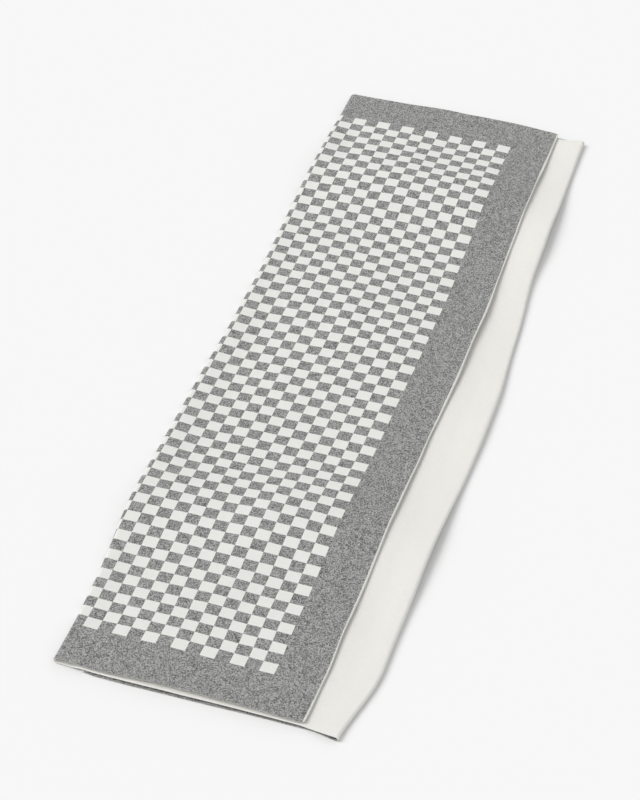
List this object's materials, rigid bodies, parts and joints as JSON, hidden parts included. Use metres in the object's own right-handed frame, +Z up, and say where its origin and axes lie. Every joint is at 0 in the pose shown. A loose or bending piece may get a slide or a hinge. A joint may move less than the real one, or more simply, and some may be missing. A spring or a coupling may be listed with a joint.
{
  "type": "folded knitted throw blanket",
  "caption": "Knitted throw with a bordered check on its face and a plain back, folded lengthwise back and forth and laid out as a long flat runner.",
  "frame": {"origin": "on the surface it lies on, under the middle of the folded throw", "axes": "+X across the folded throw towards its right fold and plain strip, +Y along it away from the near hem, +Z up"},
  "size_m": [0.506, 1.529, 0.0288],
  "materials": {
    "cotton_knit": "matte, soft double knit: heather grey and ivory check with a heather grey border on the face, plain ivory back"
  },
  "bodies": {
    "root": {"throw": "cotton_knit"}
  },
  "joints": []
}
